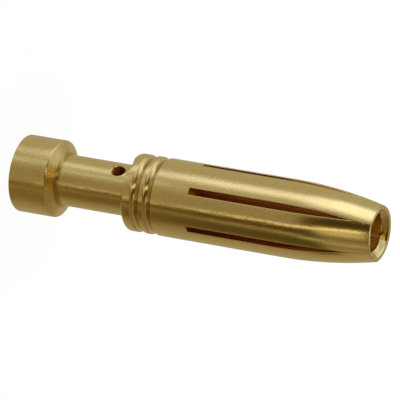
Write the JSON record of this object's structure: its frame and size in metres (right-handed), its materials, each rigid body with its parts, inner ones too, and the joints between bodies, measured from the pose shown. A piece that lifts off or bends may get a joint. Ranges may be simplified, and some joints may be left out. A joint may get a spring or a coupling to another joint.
{
  "type": "crimp socket contact",
  "caption": "Turned crimp socket contact: wire barrel with sight hole at one end, ringed body, and slotted spring tines closed in at the mouth to grip a round pin.",
  "frame": {"origin": "centre of the end face at the wire entry, on which the contact stands", "axes": "+Z along the contact's axis, from the wire entry to the mouth of the socket; -Y towards the sight hole"},
  "size_m": [0.005, 0.005, 0.0248],
  "materials": {
    "gold_plate": "satin gold plate over fine turning marks"
  },
  "bodies": {
    "root": {"socket_contact": "gold_plate"}
  },
  "joints": []
}
